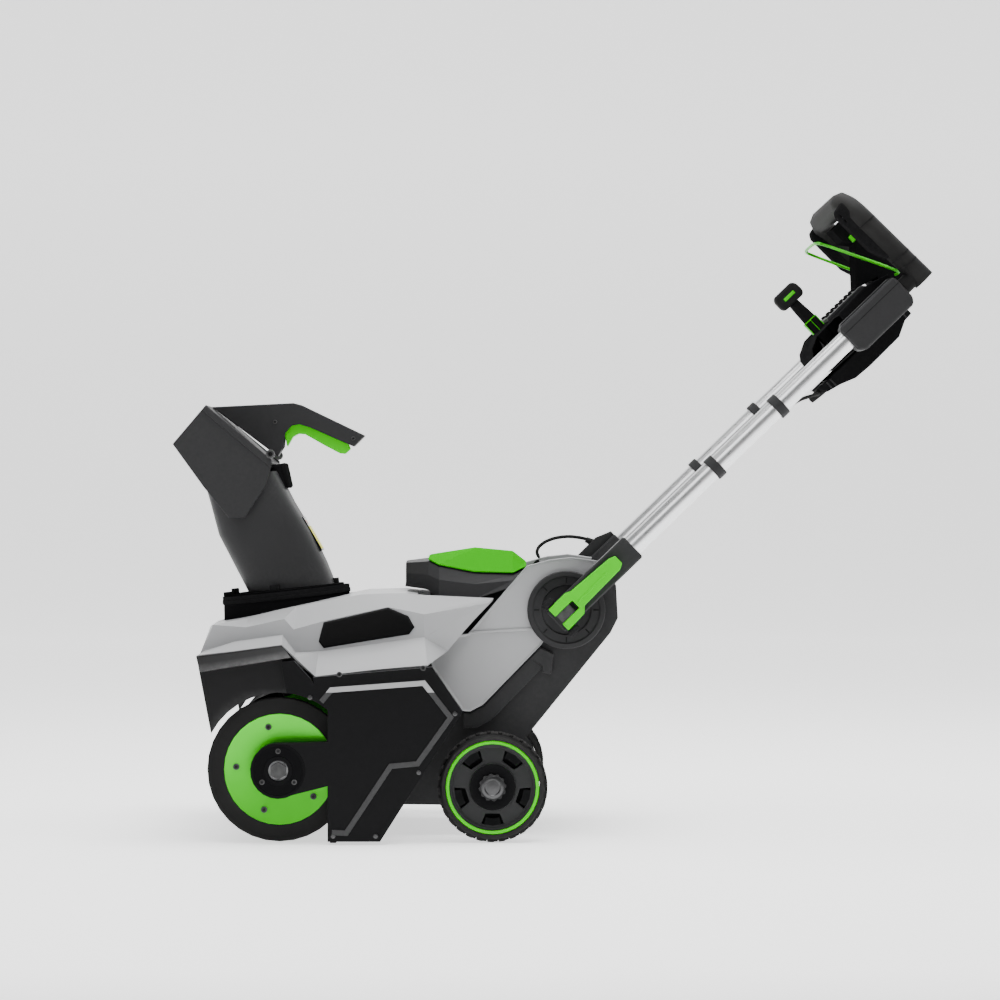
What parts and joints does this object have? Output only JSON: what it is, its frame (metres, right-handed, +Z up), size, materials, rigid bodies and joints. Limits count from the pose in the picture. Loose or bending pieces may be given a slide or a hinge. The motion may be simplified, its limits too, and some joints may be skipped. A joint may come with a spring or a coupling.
{
  "type": "walk-behind snow blower",
  "caption": "Single-stage walk-behind snow blower with a wide rotor, turning chute with tilting deflector, battery lid, small wheels and a folding handle with a grip loop.",
  "frame": {"origin": "on the ground under the middle of the whole machine", "axes": "+X towards the person pushing, +Y to the right side, +Z up"},
  "size_m": [1.2496, 0.574, 1.0572],
  "materials": {
    "black_steel": "satin powder coat",
    "black_plastic": "satin",
    "steel": "turned",
    "cast_alloy": "cast",
    "black_rubber": "matt",
    "grey_plastic": "semi-gloss",
    "charcoal_plastic": "satin",
    "lime_steel": "gloss paint",
    "tyre": "matt",
    "lime_plastic": "gloss",
    "aluminium": "satin anodised"
  },
  "bodies": {
    "chassis": {"auger_housing": "black_steel", "side_cover_left": "black_plastic", "side_cover_right": "black_plastic", "scraper_blade": "black_plastic", "auger_bearing_left": "steel", "auger_bearing_right": "steel", "motor": "cast_alloy", "drive_belt": "black_rubber", "rear_frame": "black_plastic", "deck_shell": "grey_plastic", "rear_fairing_left": "grey_plastic", "rear_fairing_right": "grey_plastic", "battery_left": "charcoal_plastic", "battery_right": "charcoal_plastic", "chute_base": "charcoal_plastic", "axle": "steel", "pivot_disc_left": "charcoal_plastic", "pivot_disc_right": "charcoal_plastic", "cable_loop": "black_rubber"},
    "rotor": {"auger_shaft": "steel", "auger_disc_left": "lime_steel", "auger_disc_right": "lime_steel", "auger_ring_left": "black_rubber", "auger_ring_right": "black_rubber", "auger_paddle_a": "black_rubber", "auger_paddle_b": "black_rubber", "auger_pulley": "cast_alloy"},
    "motor_shaft": {"motor_pulley": "steel"},
    "wheel_left": {"tyre_left": "tyre", "rim_left": "charcoal_plastic", "wheel_ring_left": "lime_plastic"},
    "wheel_right": {"tyre_right": "tyre", "rim_right": "charcoal_plastic", "wheel_ring_right": "lime_plastic"},
    "lid": {"battery_lid": "charcoal_plastic", "lid_panel": "lime_plastic"},
    "chute": {"chute_ring": "black_plastic", "chute_tube": "charcoal_plastic", "deflector_latch": "black_plastic"},
    "deflector": {"chute_deflector": "charcoal_plastic", "deflector_grip": "charcoal_plastic"},
    "trigger": {"deflector_trigger": "lime_plastic"},
    "handle": {"bracket_left": "charcoal_plastic", "bracket_right": "charcoal_plastic", "handle_tube_left": "aluminium", "handle_tube_right": "aluminium", "upper_sleeve_left": "charcoal_plastic", "upper_sleeve_right": "charcoal_plastic", "grip_loop": "black_rubber", "handle_column": "black_plastic", "console": "black_plastic", "control_pod": "black_plastic", "control_cable": "black_rubber", "pivot_bolt_left": "black_steel", "pivot_bolt_right": "black_steel"},
    "quick_lever_left": {"quick_lever_left": "lime_plastic"},
    "quick_lever_right": {"quick_lever_right": "lime_plastic"},
    "chute_lever": {"chute_lever": "black_plastic"},
    "bail": {"bail": "lime_steel"},
    "lock_button": {"lock_button": "lime_plastic"}
  },
  "joints": [
    {"name": "auger_spin", "type": "hinge", "parent": "chassis", "child": "rotor", "pos_m": [-0.4349, 0, 0.1185], "axis": [0, 1, 0], "continuous": true},
    {"name": "motor_spin", "type": "hinge", "parent": "chassis", "child": "motor_shaft", "pos_m": [-0.2459, 0, 0.15], "axis": [0, 1, 0], "continuous": true},
    {"name": "wheel_left_spin", "type": "hinge", "parent": "chassis", "child": "wheel_left", "pos_m": [-0.0919, 0, 0.089], "axis": [0, 1, 0], "continuous": true},
    {"name": "wheel_right_spin", "type": "hinge", "parent": "chassis", "child": "wheel_right", "pos_m": [-0.0919, 0, 0.089], "axis": [0, 1, 0], "continuous": true},
    {"name": "battery_lid_hinge", "type": "hinge", "parent": "chassis", "child": "lid", "pos_m": [-0.0344, 0, 0.4315], "axis": [0, 1, 0], "range_deg": [0, 70]},
    {"name": "chute_turn", "type": "hinge", "parent": "chassis", "child": "chute", "pos_m": [-0.4419, 0, 0.393], "axis": [-0.1045, 0, 0.9945], "range_deg": [-95, 95]},
    {"name": "deflector_tilt", "type": "hinge", "parent": "chute", "child": "deflector", "pos_m": [-0.4619, 0, 0.6286], "axis": [0, 1, 0], "range_deg": [-22, 25]},
    {"name": "deflector_trigger_pull", "type": "hinge", "parent": "deflector", "child": "trigger", "pos_m": [-0.3344, 0, 0.643], "axis": [0, 1, 0], "range_deg": [0, 4], "stiffness_Nm_per_rad": 1},
    {"name": "handle_fold", "type": "hinge", "parent": "chassis", "child": "handle", "pos_m": [0.0287, 0, 0.372], "axis": [0, -1, 0], "range_deg": [0, 86], "deforming": ["cable_loop"]},
    {"name": "quick_lever_left_swing", "type": "hinge", "parent": "handle", "child": "quick_lever_left", "pos_m": [0.01899, -0.2268, 0.36262], "axis": [0.6947, 0, -0.7193], "range_deg": [0, 110]},
    {"name": "quick_lever_right_swing", "type": "hinge", "parent": "handle", "child": "quick_lever_right", "pos_m": [0.01899, 0.2268, 0.36262], "axis": [-0.6947, 0, 0.7193], "range_deg": [0, 110]},
    {"name": "chute_lever_swing", "type": "hinge", "parent": "handle", "child": "chute_lever", "pos_m": [0.49039, 0, 0.8109], "axis": [0.7193, 0, 0.6947], "range_deg": [-35, 35]},
    {"name": "bail_squeeze", "type": "hinge", "parent": "handle", "child": "bail", "pos_m": [0.58371, 0, 0.93021], "axis": [0, 1, 0], "range_deg": [0, 11.5], "stiffness_Nm_per_rad": 1.5},
    {"name": "lock_button_press", "type": "slide", "parent": "handle", "child": "lock_button", "axis": [0, 1, 0], "range_m": [0, 0.004], "stiffness_N_per_m": 300}
  ],
  "couplings": [
    {"joint": "motor_spin", "follows": "auger_spin", "ratio": 2.1765},
    {"joint": "chute_lever_swing", "follows": "chute_turn", "ratio": 0.36}
  ]
}
